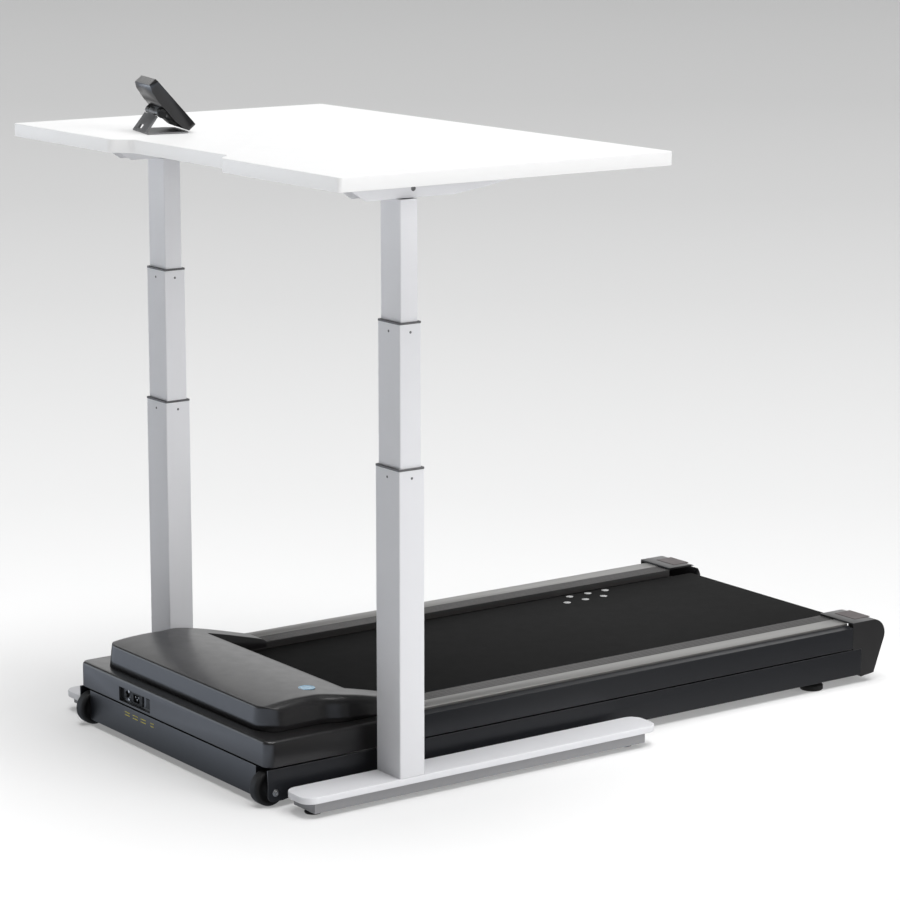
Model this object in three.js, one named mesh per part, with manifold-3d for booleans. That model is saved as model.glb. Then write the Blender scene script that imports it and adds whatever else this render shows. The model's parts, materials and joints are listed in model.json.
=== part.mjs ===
// A treadmill desk: a low walking treadmill that stands between the two lifting columns of a
// sit-stand desk, with a small tilting console on the desktop.
// Millimetres. +Z is up, +X points to the motor end, +Y is the walker's left.
// The origin is on the floor, under the middle of the bounding box.
import * as THREE from "three";
import { mergeVertices } from "three/addons/utils/BufferGeometryUtils.js";
import Module from "manifold-3d";

const wasm = await Module();
wasm.setup();

// ---- driving dimensions -------------------------------------------------------------------

const CLEARANCE = 0.4; // gap between pieces that touch
const OVER = 1; // how far a cutter reaches past the face that it cuts
const SKIN = 3; // wall of the moulded covers
const SHEET = 3; // wall of the folded steel panels

// treadmill frame
const FRONT = 786; // front face of the motor shroud
const REAR = -805; // rearmost point of the end caps
const HALF_WIDTH = 365;
const FRAME_BOTTOM = 19;
const SEAM = 78; // joint between the lower frame and the skins above it
const SEAM_GAP = 3;
const FRONT_PANEL = { half: 322, bottom: 14, returnDepth: 60, lip: 25 };
const PANEL_FLANGE = 30;

// side bands, foot rails and end caps
const BAND = { top: 126, crown: 3, front: FRONT - 330, foot: 34 };
const RAIL = { top: 133, inner: 259, outer: 345, thickness: 6, hook: 9, ribs: 5, front: FRONT - 352 };
const CAP = { front: FRONT - 1498, step: FRONT - 1524, top: 137, bottom: 14, nose: 35, wall: 4 };

// walking belt and what it runs on
const BELT = { width: 508, top: 118, thickness: 2.5 };
const ROLLER = { radius: 30.1, edge: 2, wall: 3, collar: 20, front: FRONT - 318, rear: FRONT - 1553 };
const ROLLER_Z = BELT.top - BELT.thickness - CLEARANCE - ROLLER.radius;
const AXLE = { radius: 8.5, half: 330.6, chamfer: 1 };
const DECK = { thickness: 19, gap: 12, past: 16 };
const CROSS_MEMBERS = { front: FRONT - 400, rear: FRONT - 1250, half: 20, bottom: 24, top: 48, wall: 2.5 };

// wheels and feet
const WHEEL = { x: FRONT - 16, y: 338, radius: 35, width: 26, chamfer: 3, guard: 14 };
const STUD_RADIUS = 5;
const REAR_FOOT = { x: FRONT - 1404, y: 338, radius: 25, height: 17, studTop: 36 };

// motor shroud and hood
const SHROUD = { top: 131, corner: 20, shelf: 24, shelfFront: 50, edge: 6.5 };
const HOOD = {
  front: FRONT - 30,
  half: 312,
  wingHalf: 329,
  wingInner: RAIL.inner - 2, // the wings lap the inner edge of the rails
  flareFront: FRONT - 150,
  flareRear: FRONT - 205,
  rear: FRONT - 247, // upper edge of the rear face
  lip: FRONT - 285, // lower edge of the rear face, just over the belt
  wingTip: FRONT - 392,
  corner: 44,
  floor: BELT.top + 4,
  wingFloor: BELT.top + 9,
};
// the hood's crest: distance behind the shroud's front face, and height there
const HOOD_CREST = [
  [30, 177],
  [60, 182],
  [100, 184.5],
  [145, 185.5],
  [200, 181.5],
  [247, 173.5],
  [284, 165.5],
  [316, 157.5],
  [340, 151.5],
  [365, 144.5],
  [392, 137],
];

// drive
const DRIVE_BELT = { y: 298, width: 18, thickness: 3 };
const MOTOR = { x: FRONT - 160, z: 92, radius: 48, length: 190, end: 225, chamfer: 8, shaft: 8 };
const FLYWHEEL = { radius: 44, from: 8, to: 30 };
const PULLEY = { motor: 16, roller: 32, flange: 3, groove: 11, rim: 14, end: 16 };
const PAN = { rear: FRONT - 300, front: FRONT - 28, half: 318, z: FRAME_BOTTOM + 4, plate: 3, saddle: 9.6 };
const BOARD = { rear: FRONT - 240, front: FRONT - 90, right: -250, left: -60, z: PAN.z + 3.4 };

// power sockets in the front face of the shroud
const SOCKET = { y: -138.5, z: 98.5, width: 123, height: 29, depth: 7 };
const SOCKET_BACK = FRONT - SKIN - CLEARANCE - SOCKET.depth + 2; // floor of the recess
const INLET = { y: SOCKET.y - 2, width: 29, height: 21 };
const SWITCH = { y: SOCKET.y + 43, width: 20 };
const BREAKER = { y: SOCKET.y - 44, radius: 5.5, hole: 7 };

// desk
const DESK = { top: 1226, thickness: 27, depth: 762, width: 1219.2, front: FRONT - 9.6, corner: 8 };
const NOTCH = { mouth: 222, floor: 165, depth: 36 }; // half widths
const UNDERSIDE = DESK.top - DESK.thickness;
const COLUMN = { x: FRONT - 262, y: 429, wall: 2, corner: 3 };
const STAGES = {
  outer_tube: { depth: 58, width: 80, bottom: 44, top: 646 },
  middle_tube: { depth: 49, width: 73, bottom: 364, top: 924 },
  inner_tube: { depth: 40, width: 66, bottom: 555, top: 1156 },
};
const FOOT = { front: FRONT - 18, rear: FRONT - 872, width: 82, top: 44, plate: 14, corner: 27 };
const CHANNEL = { front: FOOT.front - 22, rear: FOOT.rear + 34, bottom: 10, wall: 3 };
const GLIDE = { radius: 17, height: 11, studTop: 24 };
const GLIDE_X = { front_glide: FRONT - 60, rear_glide: FRONT - 813 };
const ARM = { bottom: 1157, front: FRONT - 118, rear: FRONT - 610, half: 24, wall: 2.5, end: 3 };
const BEAM = { half: 30, height: 36, wall: 2.5 };
const CONTROL_BOX = { rear: COLUMN.x - 150, front: COLUMN.x - 50, half: 130, height: 38 };
const HANDSET = { x: DESK.front - DESK.depth + 38, y: -470, width: 86, height: 22 };

// console, measured along and across its slab from the hinge axis
const CONSOLE = { x: 628, y: -286, turn: 14, tilt: 49, pivotHeight: 41 };
const SLAB = { low: -65, high: 59, half: 56.5, face: 37, edge: 19.5, back: 10, corner: 7 };
const HINGE = { radius: 7, end: 9, middle: 18, gap: 1, outer: 50 };
const PANE = { low: SLAB.low + 42, high: SLAB.high - 8, margin: 8, depth: 2.5 };
const KEY = { x: SLAB.low + 22, half: 7, across: 8, corner: 3, pocket: 0.6, depth: 2.6, proud: 1.6 };
const KEYS = [
  { name: "start_button", y: -36, finish: "green" },
  { name: "stop_button", y: -12, finish: "red" },
  { name: "slower_button", y: 12, finish: "plastic" },
  { name: "faster_button", y: 36, finish: "plastic" },
];

// ---- solids ---------------------------------------------------------------------------------

/** A closed three.js geometry as a manifold solid. */
function solid(geometry) {
  const bare = geometry.index ? geometry.toNonIndexed() : geometry.clone();
  for (const name of Object.keys(bare.attributes)) {
    if (name !== "position") bare.deleteAttribute(name);
  }
  const merged = mergeVertices(bare, 1e-4);
  return new wasm.Manifold(
    new wasm.Mesh({
      numProp: 3,
      vertProperties: Float32Array.from(merged.attributes.position.array),
      triVerts: Uint32Array.from(merged.index.array),
    }),
  );
}

/** A manifold solid as a three.js geometry. */
function geometryOf(body) {
  const mesh = body.getMesh();
  return new THREE.BufferGeometry()
    .setAttribute("position", new THREE.BufferAttribute(mesh.vertProperties, 3))
    .setIndex(new THREE.BufferAttribute(mesh.triVerts, 1));
}

const join = (first, ...rest) => rest.reduce((a, b) => a.add(b), first);
const cut = (first, ...rest) => rest.reduce((a, b) => a.subtract(b), first);

/** The geometry with the winding of every triangle turned round. */
function flipped(geometry) {
  const bare = geometry.index ? geometry.toNonIndexed() : geometry.clone();
  const p = bare.attributes.position;
  const [first, second] = [new THREE.Vector3(), new THREE.Vector3()];
  for (let i = 0; i < p.count; i += 3) {
    first.fromBufferAttribute(p, i);
    second.fromBufferAttribute(p, i + 1);
    p.setXYZ(i, ...second);
    p.setXYZ(i + 1, ...first);
  }
  return bare;
}

/** A geometry moved by a matrix, as a solid that faces out. */
function moved(geometry, matrix) {
  const result = geometry.clone().applyMatrix4(matrix);
  return solid(matrix.determinant() < 0 ? flipped(result) : result);
}

/** The same solid on the other side of the XZ plane. */
const mirrored = (body) => moved(geometryOf(body), new THREE.Matrix4().makeScale(1, -1, 1));

function box(x0, x1, y0, y1, z0, z1) {
  const geometry = new THREE.BoxGeometry(x1 - x0, y1 - y0, z1 - z0);
  return solid(geometry.translate((x0 + x1) / 2, (y0 + y1) / 2, (z0 + z1) / 2));
}

const polygon = (points) => new THREE.Shape(points.map(([a, b]) => new THREE.Vector2(a, b)));

// where the two directions of an outline and the direction of its extrusion go, for each axis
const ALONG = {
  x: new THREE.Matrix4().set(0, 0, 1, 0, 1, 0, 0, 0, 0, 1, 0, 0, 0, 0, 0, 1),
  y: new THREE.Matrix4().set(1, 0, 0, 0, 0, 0, 1, 0, 0, 1, 0, 0, 0, 0, 0, 1),
  z: new THREE.Matrix4(),
};

/** An outline in the plane across one axis, carried from `from` to `to` along that axis. */
function prism(axis, outline, from, to, steps = 8) {
  const shape = outline instanceof THREE.Shape ? outline : polygon(outline);
  const options = { depth: to - from, bevelEnabled: false, curveSegments: steps };
  return moved(new THREE.ExtrudeGeometry(shape, options).translate(0, 0, from), ALONG[axis]);
}

/** A rectangle with rounded corners; `radii` is one radius, or four from the low corner round. */
function rounded(a0, a1, b0, b1, radii) {
  const [r0, r1, r2, r3] = Array.isArray(radii) ? radii : [radii, radii, radii, radii];
  const quarter = Math.PI / 2;
  const shape = new THREE.Shape();
  shape.moveTo(a0 + r0, b0);
  shape.lineTo(a1 - r1, b0);
  if (r1) shape.absarc(a1 - r1, b0 + r1, r1, -quarter, 0);
  shape.lineTo(a1, b1 - r2);
  if (r2) shape.absarc(a1 - r2, b1 - r2, r2, 0, quarter);
  shape.lineTo(a0 + r3, b1);
  if (r3) shape.absarc(a0 + r3, b1 - r3, r3, quarter, 2 * quarter);
  shape.lineTo(a0, b0 + r0);
  if (r0) shape.absarc(a0 + r0, b0 + r0, r0, 2 * quarter, 3 * quarter);
  return shape;
}

// turns the axis of a lathe, which is Y, onto the named axis, and keeps its direction
const TURN = {
  x: new THREE.Matrix4().makeRotationZ(-Math.PI / 2),
  y: new THREE.Matrix4(),
  z: new THREE.Matrix4().makeRotationX(Math.PI / 2),
};

/** A solid of revolution about an axis line through `at`, from [distance, radius] pairs. */
function turned(axis, at, profile, segments = 32) {
  const points = profile.map(([along, radius]) => new THREE.Vector2(radius, along));
  const first = new THREE.Vector2(0, profile[0][0]);
  const last = new THREE.Vector2(0, profile.at(-1)[0]);
  const lathe = new THREE.LatheGeometry([first, ...points, last], segments);
  return moved(lathe, new THREE.Matrix4().makeTranslation(...at).multiply(TURN[axis]));
}

/** A plain cylinder about an axis line through `at`. */
const cylinder = (axis, at, from, to, radius, segments = 24) =>
  turned(axis, at, [[from, radius], [to, radius]], segments);

/** A loop round two circles, as an outline: what a belt follows. */
function loopOutline(a, b, ra, rb, steps = 14) {
  const along = Math.atan2(b.z - a.z, b.x - a.x);
  const lean = Math.acos((ra - rb) / Math.hypot(b.x - a.x, b.z - a.z));
  const arc = (centre, radius, start, sweep) =>
    Array.from({ length: steps + 1 }, (_, i) => {
      const t = start + (sweep * i) / steps;
      return [centre.x + radius * Math.cos(t), centre.z + radius * Math.sin(t)];
    });
  return [...arc(a, ra, along + lean, 2 * (Math.PI - lean)), ...arc(b, rb, along - lean, 2 * lean)];
}

/** A belt: the loop round two circles, `grow` thick. */
function loopBand(a, b, ra, rb, grow, y, width) {
  return cut(
    prism("y", loopOutline(a, b, ra + grow, rb + grow), y - width / 2, y + width / 2),
    prism("y", loopOutline(a, b, ra, rb), y - width / 2 - OVER, y + width / 2 + OVER),
  );
}

// ---- scene graph ----------------------------------------------------------------------------

const FINISHES = {
  plastic: { color: 0x2b2b2e, roughness: 0.42, metalness: 0 },
  powderBlack: { color: 0x242428, roughness: 0.5, metalness: 0.1 },
  aluminium: { color: 0x8d8c89, roughness: 0.38, metalness: 0.85 },
  steel: { color: 0xa5a6a8, roughness: 0.35, metalness: 0.9 },
  beltRubber: { color: 0x1c1b1b, roughness: 0.85, metalness: 0 },
  rubber: { color: 0x151515, roughness: 0.8, metalness: 0 },
  board: { color: 0x6b4f35, roughness: 0.8, metalness: 0 },
  powderWhite: { color: 0xe6e7e9, roughness: 0.45, metalness: 0 },
  laminate: { color: 0xf4f4f4, roughness: 0.35, metalness: 0 },
  powderGrey: { color: 0x8b8d92, roughness: 0.5, metalness: 0.2 },
  circuit: { color: 0x1f5136, roughness: 0.6, metalness: 0 },
  glass: { color: 0x0a0d10, roughness: 0.08, metalness: 0 },
  red: { color: 0x9c2020, roughness: 0.45, metalness: 0 },
  green: { color: 0x2f7a3a, roughness: 0.45, metalness: 0 },
};

const root = new THREE.Group();

function group(parent, x, y, z) {
  const made = new THREE.Group();
  made.position.set(x, y, z);
  parent.add(made);
  return made;
}

function add(parent, name, body, finish, position = [0, 0, 0]) {
  const mesh = new THREE.Mesh(geometryOf(body), new THREE.MeshStandardMaterial(FINISHES[finish]));
  mesh.name = name;
  mesh.position.set(...position);
  parent.add(mesh);
  return mesh;
}

/** The left piece where it is drawn, and the same piece turned over to the right side. */
function addPair(parent, name, body, finish, [x, y, z] = [0, 0, 0]) {
  add(parent, `${name}_left`, body, finish, [x, y, z]);
  add(parent, `${name}_right`, body, finish, [x, -y, z]).scale.y = -1;
}

// ---- treadmill: frame and skins -------------------------------------------------------------

/** Lower side panel: a folded steel channel, open inwards, cut away for the transport wheel. */
function sidePanel() {
  const top = SEAM - SEAM_GAP / 2;
  const inner = HALF_WIDTH - SHEET;
  const edge = inner - PANEL_FLANGE;
  const outline = [
    [edge, FRAME_BOTTOM],
    [HALF_WIDTH, FRAME_BOTTOM],
    [HALF_WIDTH, top],
    [edge, top],
    [edge, top - SHEET],
    [inner, top - SHEET],
    [inner, FRAME_BOTTOM + SHEET],
    [edge, FRAME_BOTTOM + SHEET],
  ];
  const behindWheel = WHEEL.x - WHEEL.radius - WHEEL.guard;
  const channel = prism("x", outline, CAP.step + CLEARANCE, behindWheel + 2);
  const nose = prism("y", sideNose(behindWheel, top), inner, HALF_WIDTH);
  const at = [REAR_FOOT.x, REAR_FOOT.y, 0];
  return cut(join(channel, nose), cylinder("z", at, 0, 40, STUD_RADIUS + CLEARANCE));
}

/** The flat front end of the side panel, with a rounded lower corner by the wheel. */
function sideNose(back, top) {
  const low = 13;
  const corner = 12;
  const shape = new THREE.Shape();
  shape.moveTo(back, FRAME_BOTTOM);
  shape.lineTo(FRONT - 34, low);
  shape.lineTo(FRONT - corner, low);
  shape.absarc(FRONT - corner, low + corner, corner, -Math.PI / 2, 0);
  shape.lineTo(FRONT, top);
  shape.lineTo(back, top);
  return shape;
}

/** Lower front panel: a steel face folded back at both ends and along its top. */
function frontPanel() {
  const { half, bottom, returnDepth, lip } = FRONT_PANEL;
  const top = SEAM - SEAM_GAP / 2;
  const inFace = FRONT - OVER;
  const face = box(FRONT - SHEET, FRONT, -half, half, bottom, top);
  const end = box(FRONT - returnDepth, inFace, half - SHEET, half, bottom, top);
  return join(face, end, mirrored(end), box(FRONT - lip, inFace, -half, half, top - SHEET, top));
}

/** Side band: the extrusion above the lower panel, which carries the foot rail on its shelf. */
function sideBand() {
  const bottom = SEAM + SEAM_GAP / 2;
  const shelf = RAIL.top - RAIL.thickness - 0.5;
  const railSide = RAIL.outer + 1.5;
  const shelfEnd = RAIL.inner + 12;
  const outline = [
    [HALF_WIDTH, bottom],
    [HALF_WIDTH, BAND.top],
    [railSide, BAND.top + BAND.crown],
    [railSide, shelf],
    [shelfEnd, shelf],
    [shelfEnd, shelf - SHEET],
    [HALF_WIDTH - SHEET, shelf - SHEET],
    [HALF_WIDTH - SHEET, bottom + SHEET],
    [HALF_WIDTH - BAND.foot, bottom + SHEET],
    [HALF_WIDTH - BAND.foot, bottom],
  ];
  return prism("x", outline, CAP.front + CLEARANCE, BAND.front - CLEARANCE);
}

/** Foot rail: a flat extrusion, smooth on its outer half and ribbed on its inner half. */
function footRail() {
  const { inner, outer, top, thickness, hook, ribs, front } = RAIL;
  const bottom = top - thickness;
  const middle = (inner + outer) / 2;
  const pitch = (middle - inner) / ribs;
  const outline = [
    [inner, bottom - hook],
    [inner + 4, bottom - hook],
    [inner + 4, bottom],
    [outer, bottom],
    [outer, top - 0.4],
    [outer - 0.8, top],
    [middle, top],
  ];
  for (let y = middle; y > inner + pitch / 2; y -= pitch) {
    outline.push([y - 0.28 * pitch, top - 1.2]);
    outline.push([y - 0.72 * pitch, top - 1.2]);
    outline.push([y - pitch, top]);
  }
  return prism("x", outline, CAP.front + CLEARANCE, front);
}

/** End cap: rounded nose, undercut below, stepped where it meets the band and the lower panel. */
function endCap() {
  const { front, step, top, bottom, nose, wall } = CAP;
  const seam = SEAM - SEAM_GAP / 2 + CLEARANCE;
  const shape = new THREE.Shape();
  shape.moveTo(step, bottom);
  shape.lineTo(REAR + 30, bottom + 4);
  shape.lineTo(REAR + 1.2, top - nose - 7);
  shape.absarc(REAR + nose, top - nose, nose, Math.PI, Math.PI / 2, true);
  shape.lineTo(front, top);
  shape.lineTo(front, seam);
  shape.lineTo(step, seam);
  const outer = prism("y", shape, RAIL.inner - 1, HALF_WIDTH);
  const hollow = box(REAR + 9, front + OVER, RAIL.inner - 5, HALF_WIDTH - wall, 40, top - wall);
  return cut(outer, hollow);
}

/** Motor shroud: front wall, two side walls and the shoulder that the hood stands on. */
function motorShroud() {
  const { top, corner, shelf, shelfFront } = SHROUD;
  const bottom = SEAM + SEAM_GAP / 2;
  const rear = BAND.front + CLEARANCE;
  const plan = (inset, back) => {
    const half = HALF_WIDTH - inset;
    const radius = corner - inset;
    return rounded(back, FRONT - inset, -half, half, [0, radius, radius, 0]);
  };
  const open = HOOD.half - shelf;
  const [y, z] = [SOCKET.width / 2, SOCKET.height / 2];
  return cut(
    prism("z", plan(0, rear), bottom, top).intersect(roundedOver(plan(0, rear - 20), top, SHROUD.edge)),
    prism("z", plan(SKIN, rear - OVER), bottom - OVER, top - SKIN),
    box(rear - OVER, FRONT - shelfFront, -open, open, bottom, top + OVER),
    box(FRONT - 2 * SKIN, FRONT + OVER, SOCKET.y - y, SOCKET.y + y, SOCKET.z - z, SOCKET.z + z),
  );
}

/** A block under an outline, with its top edge rounded all the way round. */
function roundedOver(outline, top, radius) {
  const depth = 100;
  const geometry = new THREE.ExtrudeGeometry(outline, {
    depth,
    bevelThickness: radius,
    bevelSize: radius,
    bevelOffset: -radius,
    bevelSegments: 4,
    curveSegments: 8,
  });
  return solid(geometry.translate(0, 0, top - depth - radius));
}

// ---- treadmill: motor hood --------------------------------------------------------------------

/** The hood's section along X: its crest, lowered by `inset`, closed down to `floor`. */
function hoodSection(inset, floor, endAt) {
  const points = HOOD_CREST.map(([behind, z]) => new THREE.Vector2(FRONT - behind, z - inset));
  const front = HOOD.front - inset;
  const edge = points[0].y;
  const top = new THREE.SplineCurve(points)
    .getPoints(22)
    .filter((p) => p.x > endAt && p.x < front - 6);
  return [[front, floor], [front, edge - 4], [front - 4, edge + 0.5], ...top.map((p) => [p.x, p.y])];
}

/** The hood seen from above: rounded front corners, flaring to the wings. */
function hoodPlan(inset) {
  const front = HOOD.front - inset;
  const half = HOOD.half - inset;
  const wing = HOOD.wingHalf - inset;
  const radius = HOOD.corner - inset;
  const rear = HOOD.wingTip - 20;
  const shape = new THREE.Shape();
  shape.moveTo(rear, -wing);
  shape.lineTo(HOOD.flareRear, -wing);
  shape.lineTo(HOOD.flareFront, -half - 1);
  shape.lineTo(front - radius, -half);
  shape.absarc(front - radius, radius - half, radius, -Math.PI / 2, 0);
  shape.lineTo(front, half - radius);
  shape.absarc(front - radius, half - radius, radius, 0, Math.PI / 2);
  shape.lineTo(HOOD.flareFront, half + 1);
  shape.lineTo(HOOD.flareRear, wing);
  shape.lineTo(rear, wing);
  return shape;
}

/** One closed volume of the hood, `inset` inside its outer surface. */
function hoodVolume(inset, floor, wingFloor) {
  const lip = HOOD.lip + inset;
  const tip = HOOD.wingTip + inset;
  const middleSection = [
    ...hoodSection(inset, floor, HOOD.rear + inset),
    [lip, HOOD.floor],
    [lip, floor],
  ];
  const wingSection = [
    ...hoodSection(inset, wingFloor, HOOD.wingTip + 8),
    [tip, CAP.top - inset],
    [tip, wingFloor],
  ];
  const middle = prism("y", middleSection, -RAIL.inner - 2, RAIL.inner + 2);
  const wing = prism("y", wingSection, HOOD.wingInner + inset, HALF_WIDTH);
  return join(middle, wing, mirrored(wing)).intersect(prism("z", hoodPlan(inset), 60, 230, 7));
}

/** Motor hood: an open-bottomed shell that stands on the shroud's shoulder and the foot rails. */
function motorHood() {
  const inner = hoodVolume(SKIN, BELT.top - 20, BELT.top - 20);
  const rear = HOOD.wingTip - 30;
  const shoulderTop = SHROUD.top + CLEARANCE;
  const shoulder = box(BAND.front - 30, FRONT, -HALF_WIDTH, HALF_WIDTH, 0, shoulderTop);
  const open = HOOD.half - SHROUD.shelf - 2;
  const opening = box(rear, FRONT - SHROUD.shelfFront - 2, -open, open, 0, SHROUD.top + OVER);
  const railTop = RAIL.top + CLEARANCE;
  const rail = box(rear, BAND.front + 10, RAIL.inner - CLEARANCE, HALF_WIDTH, 0, railTop);
  const outer = hoodVolume(0, HOOD.floor, HOOD.wingFloor);
  return cut(outer, inner, cut(shoulder, opening), rail, mirrored(rail));
}

// ---- treadmill: running gear ------------------------------------------------------------------

const FRONT_AXIS = [ROLLER.front, 0, ROLLER_Z];
const REAR_AXIS = [ROLLER.rear, 0, ROLLER_Z];
const MOTOR_AXIS = [MOTOR.x, 0, MOTOR.z];
const ORIGIN = [0, 0, 0];

/** The belt as one still loop, drawn about the rear roller's axis. */
function walkingBelt() {
  const front = { x: ROLLER.front - ROLLER.rear, z: 0 };
  const radius = ROLLER.radius + CLEARANCE;
  return loopBand({ x: 0, z: 0 }, front, radius, radius, BELT.thickness, 0, BELT.width);
}

function deckBoard() {
  const top = BELT.top - BELT.thickness - CLEARANCE;
  const inset = ROLLER.radius + DECK.gap;
  const half = BELT.width / 2 + DECK.past;
  return box(ROLLER.rear + inset, ROLLER.front - inset, -half, half, top - DECK.thickness, top);
}

/** The rim that a flat belt runs on, between two flanges, as [distance, radius] pairs. */
const pulleyRim = (radius) => [
  [DRIVE_BELT.y - PULLEY.rim, radius + PULLEY.flange],
  [DRIVE_BELT.y - PULLEY.groove, radius],
  [DRIVE_BELT.y + PULLEY.groove, radius],
  [DRIVE_BELT.y + PULLEY.rim, radius + PULLEY.flange],
  [DRIVE_BELT.y + PULLEY.end, radius + PULLEY.flange],
];

/** A hollow drum, bored for its axle, drawn about its own axis. */
function roller() {
  const { radius, edge, wall, collar } = ROLLER;
  const half = BELT.width / 2 + 2;
  const profile = [
    [-half, radius - edge],
    [-half + edge, radius],
    [half - edge, radius],
    [half, radius - edge],
  ];
  const drum = turned("y", ORIGIN, profile, 40);
  return cut(drum, cylinder("y", ORIGIN, collar - half, half - collar, radius - wall, 32), axleBore());
}

const axleBore = () => cylinder("y", ORIGIN, -400, 400, AXLE.radius + CLEARANCE, 20);

/** The front roller has the driven pulley on its left end. */
function drivenRoller() {
  const hub = 16;
  const profile = [
    [BELT.width / 2 + OVER, hub],
    [DRIVE_BELT.y - PULLEY.rim, hub],
    ...pulleyRim(PULLEY.roller),
  ];
  return join(roller(), cut(turned("y", ORIGIN, profile), axleBore()));
}

function axle() {
  const { radius, half, chamfer } = AXLE;
  const profile = [
    [-half, radius - chamfer],
    [-half + chamfer, radius],
    [half - chamfer, radius],
    [half, radius - chamfer],
  ];
  return turned("y", ORIGIN, profile, 20);
}

/** The belt from the motor to the front roller, drawn about the front roller's axis. */
function driveBelt() {
  const motor = { x: MOTOR.x - ROLLER.front, z: MOTOR.z - ROLLER_Z };
  const { y, width, thickness } = DRIVE_BELT;
  const [ra, rb] = [PULLEY.roller + CLEARANCE, PULLEY.motor + CLEARANCE];
  return loopBand({ x: 0, z: 0 }, motor, ra, rb, thickness, y, width);
}

/** Motor can on its feet, bored for the shaft, drawn about the shaft. */
function motorBody() {
  const { end, length, radius, chamfer } = MOTOR;
  const start = end - length;
  const profile = [
    [start, radius - chamfer],
    [start + chamfer, radius],
    [end - chamfer, radius],
    [end, radius - chamfer],
  ];
  const feet = box(-36, 36, start + 30, end - 30, -59, -30);
  const bore = cylinder("y", ORIGIN, start + 20, end + OVER, MOTOR.shaft + 1, 20);
  return cut(join(turned("y", ORIGIN, profile), feet), bore);
}

/** What turns in the motor: shaft, flywheel with fan, and the grooved pulley. */
function motorRotor() {
  const { end, length, shaft } = MOTOR;
  const { radius, from, to } = FLYWHEEL;
  const neck = 12;
  return turned("y", ORIGIN, [
    [end - length + 25, shaft],
    [end + from, shaft],
    [end + from, radius],
    [end + to, radius],
    [end + to, neck],
    [DRIVE_BELT.y - PULLEY.rim, neck],
    ...pulleyRim(PULLEY.motor),
  ]);
}

/** Steel pan under the motor, with the saddle that the motor's feet are bolted to. */
function motorPan() {
  const { rear, front, half, z, plate, saddle } = PAN;
  const [from, to] = [MOTOR.end - MOTOR.length + 20, MOTOR.end - 20];
  return join(
    box(rear, front, -half, half, z, z + plate),
    box(MOTOR.x - 42, MOTOR.x + 42, from, to, z, z + saddle),
  );
}

/** Motor controller: circuit board on stand-offs with a finned heat sink and two capacitors. */
function motorController() {
  const { rear, front, right, left, z } = BOARD;
  const board = box(rear, front, right, left, z + 8, z + 10);
  const feet = [rear + 8, front - 8].flatMap((x) =>
    [right + 8, left - 8].map((y) => box(x - 4, x + 4, y - 4, y + 4, z, z + 9)),
  );
  const sink = box(rear + 15, rear + 70, right + 15, left - 15, z + 9, z + 20);
  const fins = [0, 1, 2, 3, 4].map((i) => {
    const x = rear + 17 + i * 12;
    return box(x, x + 3, right + 15, left - 15, z + 19, z + 48);
  });
  const capacitors = [60, 120].map((y) => cylinder("z", [front - 34, right + y, 0], z + 9, z + 50, 17));
  return join(board, ...feet, sink, ...fins, ...capacitors);
}

/** A steel tube across the frame, bolted between the lower side panels. */
function crossMember() {
  const { half, bottom, top, wall } = CROSS_MEMBERS;
  const end = HALF_WIDTH - SHEET - CLEARANCE;
  return cut(
    box(-half, half, -end, end, bottom, top),
    box(wall - half, half - wall, -end - OVER, end + OVER, bottom + wall, top - wall),
  );
}

// ---- treadmill: sockets, wheels and feet ------------------------------------------------------
// The socket pieces are drawn in their own frame: origin in the middle of the window, on the
// floor of the recess, +X out of the shroud.

const INLET_Y = INLET.y - SOCKET.y;
const SWITCH_Y = SWITCH.y - SOCKET.y;
const BREAKER_Y = BREAKER.y - SOCKET.y;

/** The recessed plate behind the window in the shroud, cut for what it carries. */
function socketPlate() {
  const { width, height, depth } = SOCKET;
  const [half, tall] = [width / 2, height / 2];
  const plate = box(-2, depth - 2, -half - 6, half + 6, -tall - 2.5, tall + 2.5);
  const well = box(0, depth, 0.5 - half, half - 0.5, 0.5 - tall, tall - 0.5);
  const hole = (y, wide, high) => box(-20, depth, y - wide / 2, y + wide / 2, -high / 2, high / 2);
  const holes = [hole(INLET_Y, INLET.width, INLET.height), hole(SWITCH_Y, SWITCH.width, 21)];
  return cut(plate, well, ...holes, cylinder("x", [0, BREAKER_Y, 0], -20, depth, BREAKER.hole));
}

/** Appliance inlet: a flange on the plate round an open socket. */
function powerInlet() {
  const half = INLET.width / 2 - CLEARANCE;
  const at = (wide, high, x0, x1) => box(x0, x1, INLET_Y - wide, INLET_Y + wide, -high, high);
  const flange = at(24, 12, CLEARANCE, CLEARANCE + 2);
  const body = at(half, 10, -16, CLEARANCE + OVER);
  return cut(join(flange, body), at(half - 2, 8, -14, CLEARANCE + 3));
}

/** Rocker switch: a shallow V seen from the side, on its pin. */
function powerSwitch() {
  const half = SWITCH.width / 2 - 1;
  const outline = [
    [-6, -9],
    [3, -9.5],
    [0.5, 0],
    [1, 9.5],
    [-6, 9],
  ];
  return prism("y", outline, SWITCH_Y - half, SWITCH_Y + half);
}

const breakerButton = () => cylinder("x", [0, BREAKER_Y, 0], -8, 4, BREAKER.radius);

function transportWheel() {
  const { radius, width, chamfer } = WHEEL;
  const half = width / 2;
  return turned("y", ORIGIN, [
    [-half, radius - chamfer - 1],
    [chamfer - half, radius],
    [half - chamfer, radius],
    [half, radius - chamfer - 1],
  ]);
}

/** Levelling foot: rubber pad with a threaded stud that goes up into the frame. */
function levellingFoot({ radius, height, studTop }) {
  const profile = [
    [0, radius - 2],
    [2, radius],
    [height - 6, radius],
    [height - 3, radius - 5],
    [height - 3, STUD_RADIUS],
    [studTop, STUD_RADIUS],
  ];
  return turned("z", ORIGIN, profile, 28);
}

// ---- desk ---------------------------------------------------------------------------------------

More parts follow.
